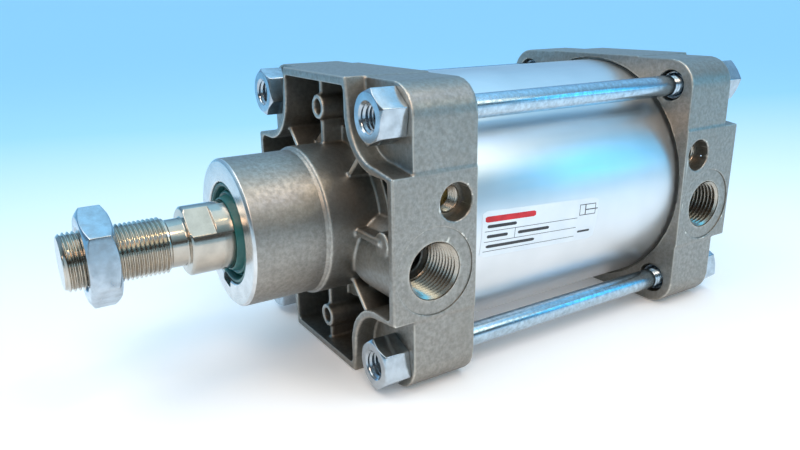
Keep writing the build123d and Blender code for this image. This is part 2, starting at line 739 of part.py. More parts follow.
# Rating label: a thin sticker on the barrel beside the front head, stuck on slightly askew
label_length = 60.0
label_height = 17.5
label_corner_radius = 1.0
label_thickness = 0.12
label_centre = (0, 71.5, -2.7)
label_tilt = -3.4
with BuildPart() as rating_label:
    film_radius = barrel_radius + label_thickness
    revolve(ring(barrel_radius, film_radius, inner_y, length_over_nuts - inner_y), axis=Axis.Y)
    label_plane = Plane(origin=label_centre, x_dir=(0, 1, 0), z_dir=(1, 0, 0))
    with BuildSketch(label_plane):
        RectangleRounded(label_length, label_height, label_corner_radius, rotation=label_tilt)
    extrude(amount=barrel_radius + overreach, mode=Mode.INTERSECT)
save(rating_label.part, "rating_label")
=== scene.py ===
"""The looks of a tie-rod pneumatic cylinder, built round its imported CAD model.

Lengths are in metres. The cylinder's axis lies along Y, the rod comes out towards -Y, the air
ports face +X and +Z is up. A turned piece is given by its outline: points of (radius, distance
along its axis). Threads are real helices.
"""

import json
from math import acos, atan2, cos, exp, hypot, log, pi, radians, sin, sqrt, tau

import bmesh
import bpy
import numpy as np
from mathutils import Matrix, Vector


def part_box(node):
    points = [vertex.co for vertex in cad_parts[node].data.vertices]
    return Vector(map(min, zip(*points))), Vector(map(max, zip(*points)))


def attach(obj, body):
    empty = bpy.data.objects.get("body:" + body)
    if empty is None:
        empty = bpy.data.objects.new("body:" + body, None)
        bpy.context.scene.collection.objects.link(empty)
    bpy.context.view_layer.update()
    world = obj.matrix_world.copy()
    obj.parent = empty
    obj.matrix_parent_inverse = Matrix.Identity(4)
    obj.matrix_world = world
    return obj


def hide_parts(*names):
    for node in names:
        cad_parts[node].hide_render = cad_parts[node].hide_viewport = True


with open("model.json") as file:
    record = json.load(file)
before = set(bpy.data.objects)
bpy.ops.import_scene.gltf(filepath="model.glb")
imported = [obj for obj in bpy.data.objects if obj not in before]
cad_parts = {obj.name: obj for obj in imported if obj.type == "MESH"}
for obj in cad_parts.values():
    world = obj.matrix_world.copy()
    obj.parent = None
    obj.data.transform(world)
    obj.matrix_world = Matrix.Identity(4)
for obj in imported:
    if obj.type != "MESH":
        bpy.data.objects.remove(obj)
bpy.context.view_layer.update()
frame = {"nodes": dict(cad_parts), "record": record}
nodes = frame["nodes"]
record = frame["record"]
mounts = {mount["name"]: mount for mount in record["mounts"]}


# ---------------------------------------------------------------- sizes read from the frame

def outer_radius(node, centre=(0.0, 0.0)):
    """The largest distance of a CAD node's surface from an axis along Y, at centre (x, z)."""
    return max(hypot(v.co.x - centre[0], v.co.z - centre[1]) for v in nodes[node].data.vertices)


def mount_place(name):
    return Vector(mounts[name]["pos_m"])


rear_face = mount_place("rear_mounting_screws").y
nut_offset = mounts["front_mounting_screws"]["dims"]["spacing_x_mm"] / 2000
corners = [(sx * nut_offset, sz * nut_offset) for sx in (1, -1) for sz in (1, -1)]
floor_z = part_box("front_head")[0].z
side_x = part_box("front_head")[1].x
neck_tip_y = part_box("front_head")[0].y
barrel_start, barrel_end = (corner.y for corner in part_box("barrel"))
barrel_radius = outer_radius("barrel")
rod_tip_y, rod_tail_y = (corner.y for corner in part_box("piston_rod"))
rod_radius = outer_radius("piston_rod")
pilot_radius = mounts["front_pilot"]["dims"]["r_mm"] / 1000
pilot_end_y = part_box("rear_head")[1].y
port_radius = mounts["front_port"]["dims"]["r_mm"] / 1000
port_y = mount_place("front_port").y
port_z = mount_place("front_port").z
nut_bore = mounts["front_mounting_screws"]["dims"]["hole_r_mm"] / 1000
nut_face_y, nut_shank_end = (corner.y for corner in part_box("front_tie_rod_nuts"))
rod_start_y, rod_end_y = (corner.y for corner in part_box("tie_rods"))
lock_nut_start, lock_nut_end = (corner.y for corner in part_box("rod_lock_nut"))
wiper_start, wiper_end = (corner.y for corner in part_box("rod_wiper_seal"))
wiper_radius = outer_radius("rod_wiper_seal")
screw_low, screw_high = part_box("front_cushion_screw")
screw_y = (screw_low.y + screw_high.y) / 2
screw_z = (screw_low.z + screw_high.z) / 2
screw_radius = (screw_high.z - screw_low.z) / 2

# Sizes that the frame doesn't hold
tie_rod_radius = 0.00445
pad_y = 0.0104  # the casting's pads under the tie-rod nuts
head_inner_y = 0.037  # face towards the barrel
rod_shoulder_y = -0.051
rod_flat_end_y = -0.042
rod_flats = 0.022  # across the wrench flats
rod_flat_turn = radians(50)  # direction of a flat's normal, from +X towards +Z
rod_thread_pitch = 0.0015
rod_thread_depth = 0.00092
lock_nut_flats = 0.030
lock_nut_turn = radians(38)
nut_flats = 0.017
nut_turns = [radians(turn) for turn in (22, 38, 40, 7)]
nut_pitch = 0.0015
nut_thread_depth = 0.00078
port_pitch = 0.001814
port_thread_depth = 0.00116
port_depth = 0.019
port_seat_x = side_x - 0.0004
counterbore_radius = 0.00675
counterbore_x = 0.050
screw_pitch = 0.001
hub_radius = 0.0287
hub_clear_radius = 0.034  # what the turned neck and pilot take the place of
neck_root_y = -0.0065


# ---------------------------------------------------------------- shader helpers

def new_material(name):
    """A material with its Principled shader; returns (material, tree, shader)."""
    material = bpy.data.materials.new(name)
    material.use_nodes = True
    tree = material.node_tree
    return material, tree, tree.nodes["Principled BSDF"]


def add_node(tree, kind, settings=None, **inputs):
    """A shader node with its settings; each input is a value or another node's socket."""
    node = tree.nodes.new("ShaderNode" + kind)
    for key, value in (settings or {}).items():
        setattr(node, key, value)
    for key, value in inputs.items():
        socket = node.inputs[int(key[1:])] if key[0] == "i" and key[1:].isdigit() else node.inputs[key]
        if isinstance(value, bpy.types.NodeSocket):
            tree.links.new(value, socket)
        else:
            socket.default_value = value
    return node


def place_of(tree, stretch=(1, 1, 1)):
    """The point in the piece's own frame, in metres, stretched."""
    coordinates = add_node(tree, "TexCoord")
    mapping = add_node(tree, "Mapping", Vector=coordinates.outputs["Object"], Scale=stretch)
    return mapping.outputs[0]


def noise(tree, size, place=None, detail=3.0, roughness=0.55, distortion=0.0):
    """Noise whose largest lumps are about size metres across, from 0 to 1."""
    where = place or place_of(tree)
    settings = {"Vector": where, "Scale": 1 / size, "Detail": detail, "Roughness": roughness}
    node = add_node(tree, "TexNoise", Distortion=distortion, **settings)
    return node.outputs["Fac"]


def ramp(tree, value, low, high, start=0.0, end=1.0):
    """Maps value from low..high to start..end, held at both ends."""
    settings = {"clamp": True}
    inputs = {"Value": value, "From Min": low, "From Max": high, "To Min": start, "To Max": end}
    return add_node(tree, "MapRange", settings, **inputs).outputs[0]


def blend_colours(tree, factor, first, second, mode="MIX"):
    """Mixes two colours, each a tuple or a socket."""
    node = add_node(tree, "Mix", {"data_type": "RGBA", "blend_type": mode})
    for index, value in ((0, factor), (6, first), (7, second)):
        if isinstance(value, bpy.types.NodeSocket):
            tree.links.new(value, node.inputs[index])
        else:
            node.inputs[index].default_value = (*value, 1) if isinstance(value, tuple) else value
    return node.outputs[2]


def bump(tree, height, depth, normal=None):
    """A bump of that depth in metres."""
    node = add_node(tree, "Bump", Height=height, Strength=1.0, Distance=depth)
    if normal is not None:
        tree.links.new(normal, node.inputs["Normal"])
    return node.outputs[0]


def axis_distance(tree, axis="Y"):
    """(distance from the cylinder's frame axis, place along it) as sockets."""
    coordinates = add_node(tree, "TexCoord")
    split = add_node(tree, "SeparateXYZ", Vector=coordinates.outputs["Object"])
    first, second, along = ("X", "Z", "Y") if axis == "Y" else ("Y", "Z", "X")
    flat = add_node(tree, "CombineXYZ", X=split.outputs[first], Y=split.outputs[second])
    length = add_node(tree, "VectorMath", {"operation": "LENGTH"}, i0=flat.outputs[0])
    return length.outputs["Value"], split.outputs[along]


def turning_marks(tree, spacing, axis="Y"):
    """Fine lathe lines round an axis, on its cylinders and on its faces, from 0 to 1."""
    distance, along = axis_distance(tree, axis)
    lines = add_node(tree, "CombineXYZ", X=distance, Y=along)
    return noise(tree, spacing, lines.outputs[0], detail=2.0, roughness=0.7)


def metal(name, colour, roughness, grain=0.0006, lumps=0.004, depth=0.00002, spread=0.1, dark=0.75):
    """A bare metal: two scales of mottling in colour and roughness, and a fine bump."""
    material, tree, shader = new_material(name)
    fine = noise(tree, grain, detail=4.0)
    broad = noise(tree, lumps, detail=3.0)
    shade = tuple(channel * dark for channel in colour)
    mottled = blend_colours(tree, ramp(tree, broad, 0.35, 0.65), shade, colour)
    tree.links.new(mottled, shader.inputs["Base Color"])
    shader.inputs["Metallic"].default_value = 1.0
    uneven = ramp(tree, broad, 0.3, 0.7, roughness + spread, roughness - spread)
    tree.links.new(uneven, shader.inputs["Roughness"])
    tree.links.new(bump(tree, fine, depth), shader.inputs["Normal"])
    return material


# ---------------------------------------------------------------- materials

def cast_aluminium():
    """Tumbled die casting: speckled warm grey, fine grain, brighter worn edges, painted shade darkening the
    hollows.
    """
    material, tree, shader = new_material("cast_aluminium")
    grain = noise(tree, 0.0006, detail=5.0, roughness=0.7)
    flecks = noise(tree, 0.0016, detail=5.0, roughness=0.7)
    clouds = noise(tree, 0.014, detail=3.0)
    waves = noise(tree, 0.007, detail=1.0)
    body = blend_colours(tree, ramp(tree, flecks, 0.38, 0.62), (0.275, 0.262, 0.238), (0.375, 0.360, 0.332))
    cloudy = blend_colours(tree, ramp(tree, clouds, 0.35, 0.7, 0.0, 0.4), body, (0.29, 0.272, 0.24))
    geometry = add_node(tree, "NewGeometry")
    edges = ramp(tree, geometry.outputs["Pointiness"], 0.515, 0.565, 0.0, 0.85)
    worn = blend_colours(tree, edges, cloudy, (0.80, 0.76, 0.68))
    # Painted shade: ambient occlusion darkens the base colour in hollows and corners, where shade falls.
    painted_shade_occlusion = add_node(tree, "AmbientOcclusion", {"samples": 8}, Distance=0.012)
    shade = ramp(tree, painted_shade_occlusion.outputs["AO"], 0.25, 0.85, 0.5, 0.0)
    colour_with_painted_shade = blend_colours(tree, shade, worn, (0.15, 0.14, 0.115))
    tree.links.new(colour_with_painted_shade, shader.inputs["Base Color"])
    shader.inputs["Metallic"].default_value = 1.0
    rough = ramp(tree, flecks, 0.3, 0.7, 0.50, 0.38)
    tree.links.new(rough, shader.inputs["Roughness"])
    surface = bump(tree, waves, 0.00018)
    surface = bump(tree, flecks, 0.00005, surface)
    surface = bump(tree, grain, 0.00003, surface)
    tree.links.new(surface, shader.inputs["Normal"])
    return material


def machined(name, colour, roughness, spacing=0.00022, depth=0.000006, axis="Y"):
    """A turned surface: lathe lines round the piece's axis over a little mottling."""
    material, tree, shader = new_material(name)
    marks = turning_marks(tree, spacing, axis)
    broad = noise(tree, 0.005, detail=3.0)
    shade = tuple(channel * 0.82 for channel in colour)
    tint = blend_colours(tree, ramp(tree, broad, 0.35, 0.65), shade, colour)
    lined = blend_colours(tree, ramp(tree, marks, 0.3, 0.7, 0.0, 0.25), tint, shade)
    tree.links.new(lined, shader.inputs["Base Color"])
    shader.inputs["Metallic"].default_value = 1.0
    uneven = ramp(tree, marks, 0.3, 0.7, roughness * 0.8, roughness * 1.25)
    tree.links.new(uneven, shader.inputs["Roughness"])
    tree.links.new(bump(tree, marks, depth), shader.inputs["Normal"])
    return material


def anodised_aluminium():
    """Clear anodised drawn tube: satin, with faint lines along it."""
    material, tree, shader = new_material("anodised_aluminium")
    drawn = noise(tree, 0.0004, place_of(tree, (1, 0.015, 1)), detail=2.0)
    clouds = noise(tree, 0.03, detail=2.0)
    tint = blend_colours(tree, ramp(tree, clouds, 0.35, 0.65), (0.70, 0.72, 0.735), (0.77, 0.785, 0.80))
    tree.links.new(tint, shader.inputs["Base Color"])
    shader.inputs["Metallic"].default_value = 1.0
    tree.links.new(ramp(tree, drawn, 0.3, 0.7, 0.30, 0.37), shader.inputs["Roughness"])
    tree.links.new(bump(tree, drawn, 0.000006), shader.inputs["Normal"])
    return material


def moulded(name, colour, roughness, grain=0.0004, depth=0.000008):
    """Smooth moulded rubber or plastic, with a faint grain and uneven gloss."""
    material, tree, shader = new_material(name)
    fine = noise(tree, grain, detail=3.0)
    broad = noise(tree, 0.004, detail=2.0)
    shade = tuple(channel * 0.7 for channel in colour)
    tint = blend_colours(tree, ramp(tree, broad, 0.3, 0.7), shade, colour)
    tree.links.new(tint, shader.inputs["Base Color"])
    uneven = ramp(tree, broad, 0.3, 0.7, roughness + 0.08, roughness - 0.06)
    tree.links.new(uneven, shader.inputs["Roughness"])
    tree.links.new(bump(tree, fine, depth), shader.inputs["Normal"])
    return material


def label_film():
    """Silver polyester film: bright, faintly brushed, glossy."""
    material, tree, shader = new_material("label_film")
    brushed = noise(tree, 0.0005, place_of(tree, (1, 0.03, 1)), detail=2.0)
    clouds = noise(tree, 0.01)
    tint = blend_colours(tree, ramp(tree, clouds, 0.3, 0.7), (0.74, 0.79, 0.83), (0.82, 0.86, 0.89))
    tree.links.new(tint, shader.inputs["Base Color"])
    shader.inputs["Metallic"].default_value = 0.2
    tree.links.new(ramp(tree, brushed, 0.3, 0.7, 0.28, 0.40), shader.inputs["Roughness"])
    tree.links.new(bump(tree, brushed, 0.000003), shader.inputs["Normal"])
    return material


materials = {
    "cast_aluminium": cast_aluminium(),
    "anodised_aluminium": anodised_aluminium(),
    "machined_aluminium": machined("machined_aluminium", (0.74, 0.74, 0.73), 0.28),
    "zinc_plated_steel": metal("zinc_plated_steel", (0.52, 0.58, 0.63), 0.21, depth=0.000012, spread=0.07),
    "tie_rod_steel": metal(
        "tie_rod_steel", (0.50, 0.63, 0.73), 0.22, lumps=0.0016, depth=0.000006, spread=0.06, dark=0.72
    ),
    "chromed_rod_steel": machined("chromed_rod_steel", (0.56, 0.51, 0.44), 0.15, 0.00015, 0.000002),
    "wiper_polyurethane": moulded("wiper_polyurethane", (0.008, 0.125, 0.115), 0.38),
    "seal_rubber": moulded("seal_rubber", (0.025, 0.025, 0.027), 0.45),
    "bearing_bronze": metal("bearing_bronze", (0.58, 0.40, 0.22), 0.35),
    "screw_brass": metal("screw_brass", (0.64, 0.48, 0.20), 0.27, depth=0.000008),
    "wear_ring_plastic": moulded("wear_ring_plastic", (0.52, 0.33, 0.16), 0.5),
    "magnet_plastic": moulded("magnet_plastic", (0.06, 0.06, 0.065), 0.55),
    "label_film": label_film(),
    "label_ink": moulded("label_ink", (0.03, 0.032, 0.035), 0.4),
    "label_red": moulded("label_red", (0.70, 0.012, 0.02), 0.35),
    # Painted shade: a darker, browner copy of machined aluminium for the tapped walls deep in the holes.
    "machined_bore_painted_shade": machined("machined_bore_painted_shade", (0.50, 0.45, 0.38), 0.26, 0.0002, 0.000004, axis="X"),
}
for subpart in record["subparts"]:
    cad_materials = nodes[subpart["node"]].data.materials
    cad_materials.clear()
    cad_materials.append(materials[subpart["material_slot"]])


# ---------------------------------------------------------------- mesh helpers

def even_angles(count, *extra):
    """Angles round a circle, with some exact ones added."""
    angles = {round(index * tau / count, 7) for index in range(count)}
    kept = {round(angle % tau, 7) for angle in extra}
    near = tau / count * 0.3
    angles = {a for a in angles if all(abs((a - k + pi) % tau - pi) > near for k in kept)}
    return sorted(angles | kept)


def rounded(points, size):
    """The points with each inner corner replaced by a small curve."""
    result = [points[0]]
    for before, corner, after in zip(points, points[1:], points[2:]):
        lead, trail = Vector(before) - Vector(corner), Vector(after) - Vector(corner)
        reach = min(size, 0.45 * lead.length, 0.45 * trail.length)
        start = Vector(corner) + (lead.normalized() * reach if lead.length > 0 else lead)
        end = Vector(corner) + (trail.normalized() * reach if trail.length > 0 else trail)
        for share in (0.0, 0.35, 0.65, 1.0):
            curve = (1 - share) ** 2 * start + 2 * share * (1 - share) * Vector(corner) + share**2 * end
            result.append(tuple(curve))
    result.append(points[-1])
    return result


class Thread:
    """A helical thread between two places along the axis.

    crest and root are the radii of its tops and bottoms. low and high hold the radius within
    limits, as lists of (place, radius), so that chamfers and run-outs cut the thread.
    """

    shape = ((0.0, 0.0), (0.13, 0.0), (0.50, 0.90), (0.54, 1.0), (0.62, 1.0), (0.66, 0.90))

    def __init__(self, start, end, pitch, crest, root, low=None, high=None):
        self.start, self.end, self.pitch = start, end, pitch
        self.crest, self.root = crest, root
        self.low, self.high = low, high

    def radius(self, height, along):
        value = self.root + (self.crest - self.root) * height
        if self.low:
            value = max(value, float(np.interp(along, *zip(*self.low))))
        if self.high:
            value = min(value, float(np.interp(along, *zip(*self.high))))
        return value

    def add_to(self, mesh, place, angles):
        """Builds the helical surface; its two ends close on plain circles."""
        low, high = min(self.start, self.end), max(self.start, self.end)
        turns = int((high - low) / self.pitch) + 2
        count = len(self.shape)
        rows = []
        for row in range(turns * count + 1):
            phase, height = self.shape[row % count]
            whole = row // count + phase
            ring = []
            for angle in angles:
                along = min(max(low + (whole - 1 + angle / tau) * self.pitch, low), high)
                ring.append(mesh.verts.new(place(self.radius(height, along), angle, along)))
            rows.append(ring)
        last = len(angles) - 1
        for row in range(len(rows) - 1):
            for column in range(last):
                near, far = rows[row], rows[row + 1]
                mesh.faces.new((near[column], near[column + 1], far[column + 1], far[column]))
            if row + 1 + count < len(rows):
                first, second = rows[row + count], rows[row + 1 + count]
                mesh.faces.new((rows[row][last], first[0], second[0], rows[row + 1][last]))


def along_y(centre=(0.0, 0.0)):
    """Places (radius, angle, distance) on a piece turned about an axis along Y, at (x, z)."""
    x, z = centre
    return lambda radius, angle, along: (x + radius * sin(angle), along, z + radius * cos(angle))


def along_x(centre):
    """The same for an axis along X, at (y, z)."""
    y, z = centre
    return lambda radius, angle, along: (along, y + radius * cos(angle), z + radius * sin(angle))


def finished(mesh, name, material, sharp=38):
    """An object from a bmesh: welded, closed, shaded smooth between sharp edges."""
    bmesh.ops.remove_doubles(mesh, verts=mesh.verts, dist=2e-7)
    bmesh.ops.dissolve_degenerate(mesh, dist=1e-7, edges=mesh.edges)
    bmesh.ops.recalc_face_normals(mesh, faces=mesh.faces)
    data = bpy.data.meshes.new(name)
    mesh.to_mesh(data)
    mesh.free()
    data.materials.append(material)
    data.shade_smooth()
    data.set_sharp_from_angle(angle=radians(sharp))
    piece = bpy.data.objects.new(name, data)
    bpy.context.scene.collection.objects.link(piece)
    return piece


def turned(name, material, sections, place, angles=None, edge=0.00025):
    """A turned piece from sections one after the other: lists of points, or Threads.

    A point is (radius, distance along the axis), or a function from the angle to such a point.
    """
    angles = angles or even_angles(128)
    mesh = bmesh.new()
    for section in sections:
        if isinstance(section, Thread):
            section.add_to(mesh, place, angles)
            continue
        rings = []
        for angle in angles:
            points = [point(angle) if callable(point) else point for point in section]
            rings.append([mesh.verts.new(place(r, angle, y)) for r, y in rounded(points, edge)])
        for first, second in zip(rings, rings[1:] + rings[:1]):
            for index in range(len(first) - 1):
                mesh.faces.new((first[index], second[index], second[index + 1], first[index + 1]))
    return finished(mesh, name, material)


def polygon_radius(angle, flats, corner_turn, corner_round=0.0004):
    """The radius of a hexagon with rounded corners, at an angle from +Z towards +X."""
    half = flats / 2
    centre = (half - corner_round) / cos(pi / 6)
    tangent = atan2(corner_round * sin(pi / 6), centre + corner_round * cos(pi / 6))
    offset = (angle - (pi / 2 - corner_turn) + pi / 6) % (pi / 3) - pi / 6
    if abs(offset) < tangent:
        return centre * cos(offset) + sqrt(corner_round**2 - (centre * sin(offset)) ** 2)
    return half / cos(pi / 6 - abs(offset))


def hexagon_angles(count, flats, corner_turn, corner_round=0.0004):
    """Angles for a hexagon, with extra ones at its rounded corners."""
    half = flats / 2
    centre = (half - corner_round) / cos(pi / 6)
    tangent = atan2(corner_round * sin(pi / 6), centre + corner_round * cos(pi / 6))
    extra = []
    for side in range(6):
        corner = pi / 2 - corner_turn + side * pi / 3
        extra += [corner + tangent * share for share in (-1.0, -0.5, 0.0, 0.5, 1.0)]
    return even_angles(count, *extra)


def fit(piece, body, slot, *replaced):
    """Sets the body that a piece rides on and hides the CAD nodes it stands for; slot is not used."""
    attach(piece, body)
    if replaced:
        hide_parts(*replaced)
    return piece


# ---------------------------------------------------------------- camera and stage

def add_camera():
    """The camera at the photograph's viewing angle: close by, looking down on the rod end."""
    azimuth, elevation, roll = radians(57.75), radians(17.48), radians(-0.76)
    back = Vector((sin(azimuth) * cos(elevation), -cos(azimuth) * cos(elevation), sin(elevation)))
    level = Vector((cos(azimuth), sin(azimuth), 0))
    upright = back.cross(level)
    right = cos(roll) * level + sin(roll) * upright
    up = cos(roll) * upright - sin(roll) * level
    data = bpy.data.cameras.new("camera")
    data.lens = 31.40
    data.sensor_width = 36.0
    data.clip_start = 0.01
    camera = bpy.data.objects.new("camera", data)
    camera_place = Matrix.Translation((0.23966, -0.11098, 0.07892))
    camera.matrix_world = camera_place @ Matrix((right, up, back)).transposed().to_4x4()
    bpy.context.scene.collection.objects.link(camera)
    bpy.context.scene.camera = camera


def add_floor():
    """A plain floor, white near by and pale blue far off, where it rises a little past the horizon."""
    mesh = bmesh.new()
    rows = []
    sides = 96
    middle = rear_face / 2
    turns = [index * tau / sides for index in range(sides)]
    for radius, height in ((0.0001, 0.0), (2.0, 0.0), (6.0, 0.12), (40.0, 5.2)):
        circle = [(radius * cos(turn), middle + radius * sin(turn), height) for turn in turns]
        rows.append([mesh.verts.new(point) for point in circle])
    for inner, outer in zip(rows, rows[1:]):
        for index in range(sides):
            following = (index + 1) % sides
            mesh.faces.new((inner[index], outer[index], outer[following], inner[following]))
    mesh.faces.new(rows[0])
    for vertex in mesh.verts:
        vertex.co.z += floor_z - 0.0001
    material, tree, shader = new_material("floor")
    clouds = noise(tree, 0.5, detail=2.0)
    pale = blend_colours(tree, clouds, (0.93, 0.925, 0.925), (0.97, 0.965, 0.965))
    place = add_node(tree, "TexCoord").outputs["Object"]
    away = (sin(radians(-105)), -cos(radians(-105)), 0)
    distance = add_node(tree, "VectorMath", {"operation": "DOT_PRODUCT"}, i0=place, i1=away)
    far = ramp(tree, distance.outputs["Value"], 0.0, 0.6)
    tint = blend_colours(tree, far, pale, (0.50, 0.80, 0.99))
    tree.links.new(tint, shader.inputs["Base Color"])
    shader.inputs["Roughness"].default_value = 0.7
    tree.links.new(tint, shader.inputs["Emission Color"])
    shader.inputs["Emission Strength"].default_value = 0.14
    floor = finished(mesh, "floor", material)


def add_light(name, azimuth, elevation, distance, size, power, colour, aim=(0, 0.094, 0)):
    """A soft area light aimed at the middle of the cylinder, or at another place."""
    data = bpy.data.lights.new(name, "AREA")
    data.shape = "RECTANGLE"
    data.size, data.size_y = size
    data.energy = power
    data.color = colour
    light = bpy.data.objects.new(name, data)
    turn, lift = radians(azimuth), radians(elevation)
    way = Vector((sin(turn) * cos(lift), -cos(turn) * cos(lift), sin(lift)))
    light.location = Vector(aim) + way * distance
    light.rotation_euler = way.to_track_quat("Z", "Y").to_euler()
    bpy.context.scene.collection.objects.link(light)


def add_world():
    """A soft room: dim all round, sky blue from the left and from above."""
    world = bpy.data.worlds.new("world")
    bpy.context.scene.world = world
    world.use_nodes = True
    tree = world.node_tree
    background = tree.nodes["Background"]
    way = add_node(tree, "TexCoord").outputs["Generated"]
    left = (sin(radians(-120)), -cos(radians(-120)), 0)
    lobes = (((0, 0, 1), 0.3, 0.9, (0.36, 0.70, 0.90)), (left, -0.4, 0.5, (0.13, 0.33, 0.58)))
    colour = (0.09, 0.09, 0.09)
    for axis, low, high, tint in lobes:
        facing = add_node(tree, "VectorMath", {"operation": "DOT_PRODUCT"}, i0=way, i1=axis)
        share = ramp(tree, facing.outputs["Value"], low, high)
        lit = blend_colours(tree, share, (0.0, 0.0, 0.0), tint)
        colour = blend_colours(tree, 1.0, colour, lit, "ADD")
    tree.links.new(colour, background.inputs["Color"])
    background.inputs["Strength"].default_value = 1.0


add_camera()
add_floor()
add_world()
add_light("key", 117, 36, 0.9, (0.30, 0.30), 0.70, (1.0, 0.93, 0.72))
add_light("high", 117, 56, 0.9, (0.25, 0.25), 0.80, (0.45, 0.60, 1.0))
add_light("window", 136, 16, 1.0, (0.30, 0.40), 0.92, (0.06, 0.57, 1.0))
add_light("front", -10, 55, 0.7, (0.40, 0.30), 1.05, (1.0, 0.82, 0.70))
add_light("gold", 112, 66, 0.8, (0.30, 0.08), 0.8, (1.0, 0.72, 0.38))
add_light("near", 60, 62, 0.8, (0.50, 0.30), 2.6, (1.0, 0.66, 0.44), (0.25, -0.12, floor_z))
add_light("zenith", 60, 89, 0.75, (0.70, 0.70), 0.8, (1.0, 0.72, 0.42), (0.15, -0.05, floor_z))
bpy.context.scene.view_settings.view_transform = "Standard"


# ---------------------------------------------------------------- heads

def cutter(sections, place, angles=None, finish="machined_aluminium"):
    """A turned solid to cut away from a casting; its faces come out with that finish."""
    return turned("cutter", materials[finish], sections, place, angles, edge=0.0)


def joined(pieces):
    """One mesh object from several."""
    mesh = bmesh.new()
    slots = []
    for piece in pieces:
        done = len(mesh.faces)
        mesh.from_mesh(piece.data)
        mesh.faces.ensure_lookup_table()
        material = piece.data.materials[0]
        if material not in slots:
            slots.append(material)
        for face in mesh.faces[done:]:
            face.material_index = slots.index(material)
    data = bpy.data.meshes.new("joined")
    mesh.to_mesh(data)
    mesh.free()
    for material in slots:
        data.materials.append(material)
    for piece in pieces:
        bpy.data.objects.remove(piece)
    result = bpy.data.objects.new("joined", data)
    bpy.context.scene.collection.objects.link(result)
    return result


def apply_modifier(piece, kind, **settings):
    """Adds a modifier and applies it."""
    modifier = piece.modifiers.new(kind.lower(), kind)
    for key, value in settings.items():
        setattr(modifier, key, value)
    with bpy.context.temp_override(object=piece, active_object=piece):
        bpy.ops.object.modifier_apply(modifier=modifier.name)


def casting(name, node, cutters):
    """A die casting: the CAD shape with every edge and corner softened, then machined."""
    mesh = bmesh.new()
    mesh.from_mesh(nodes[node].data)
    bmesh.ops.remove_doubles(mesh, verts=mesh.verts, dist=1e-6)
    piece = finished(mesh, name, materials["cast_aluminium"])
    voxel = 0.0005
    apply_modifier(piece, "REMESH", mode="VOXEL", voxel_size=voxel)
    apply_modifier(piece, "SMOOTH", factor=0.5, iterations=6)
    faces = len(piece.data.polygons) * 2
    apply_modifier(piece, "DECIMATE", ratio=min(1.0, 170000 / faces), use_collapse_triangulate=True)
    tool = joined(cutters)
    apply_modifier(piece, "BOOLEAN", operation="DIFFERENCE", object=tool, solver="EXACT")
    bpy.data.objects.remove(tool)
    piece.data.shade_smooth()
    piece.data.set_sharp_from_angle(angle=radians(40))
    apply_modifier(piece, "WEIGHTED_NORMAL", keep_sharp=True)
    return piece


def end_y(rear, y):
    """A distance behind the nearer mounting face as a place on the axis."""
    return rear_face - y if rear else y


def head_cutters(rear):
    """What is machined on both heads: ports, cushion-screw holes, tie-rod holes, barrel seat.

    The seat round a port is in the port's own outline, because two cutters may not overlap.
    """
    port_place = along_x((end_y(rear, port_y), port_z))
    screw_place = along_x((end_y(rear, screw_y), screw_z))
    outside = side_x + 0.004
    insert_radius = port_radius + 0.00158
    seat_radius = 0.016
    seat_x = port_seat_x - 0.0001
    seat_middle = (insert_radius + seat_radius) / 2
    seat_edge = 0.0004
    port_back = port_seat_x - port_depth
    screw_bottom = screw_low.x + 0.004
    screw_wall = screw_radius + 0.001
    mouth_radius = counterbore_radius + 0.0014
    above_side = side_x + 0.001
    recess = [end_y(rear, y) for y in (head_inner_y - 0.002, head_inner_y + 0.001)]
    ring_out = barrel_radius + 0.0009
    ring_in = 0.0498
    tools = [
        cutter(
            [[
                (0, port_back), (insert_radius, port_back), (insert_radius, seat_x),
                (insert_radius + seat_edge, seat_x), (seat_middle, seat_x), (seat_radius - seat_edge, seat_x),
                (seat_radius, seat_x), (seat_radius + seat_edge, outside), (0, outside),
            ]],
            port_place, finish="cast_aluminium",
        ),
        cutter(
            [[
                (0, screw_bottom), (screw_wall, screw_bottom), (screw_wall, counterbore_x),
                (counterbore_radius, counterbore_x), (counterbore_radius, side_x - 0.0004),
                (mouth_radius, above_side), (0, above_side),
            ]],
            screw_place,
        ),
        cutter(
            [[
                (ring_in, recess[0]), (ring_out, recess[0]), (ring_out, recess[1]), (ring_in, recess[1]),
                (ring_in, recess[0]),
            ]],
            along_y(), even_angles(192), finish="cast_aluminium",
        ),
    ]
    hole, hole_mouth = 0.0065, 0.0078
    start, end = end_y(rear, -0.002), end_y(rear, head_inner_y + 0.001)
    mouth = end_y(rear, head_inner_y - 0.0003)
    hole_outline = [(0, start), (hole, start), (hole, mouth), (hole_mouth, end), (0, end)]
    for corner in corners:
        tools.append(cutter([hole_outline], along_y(corner), even_angles(64)))
    return tools


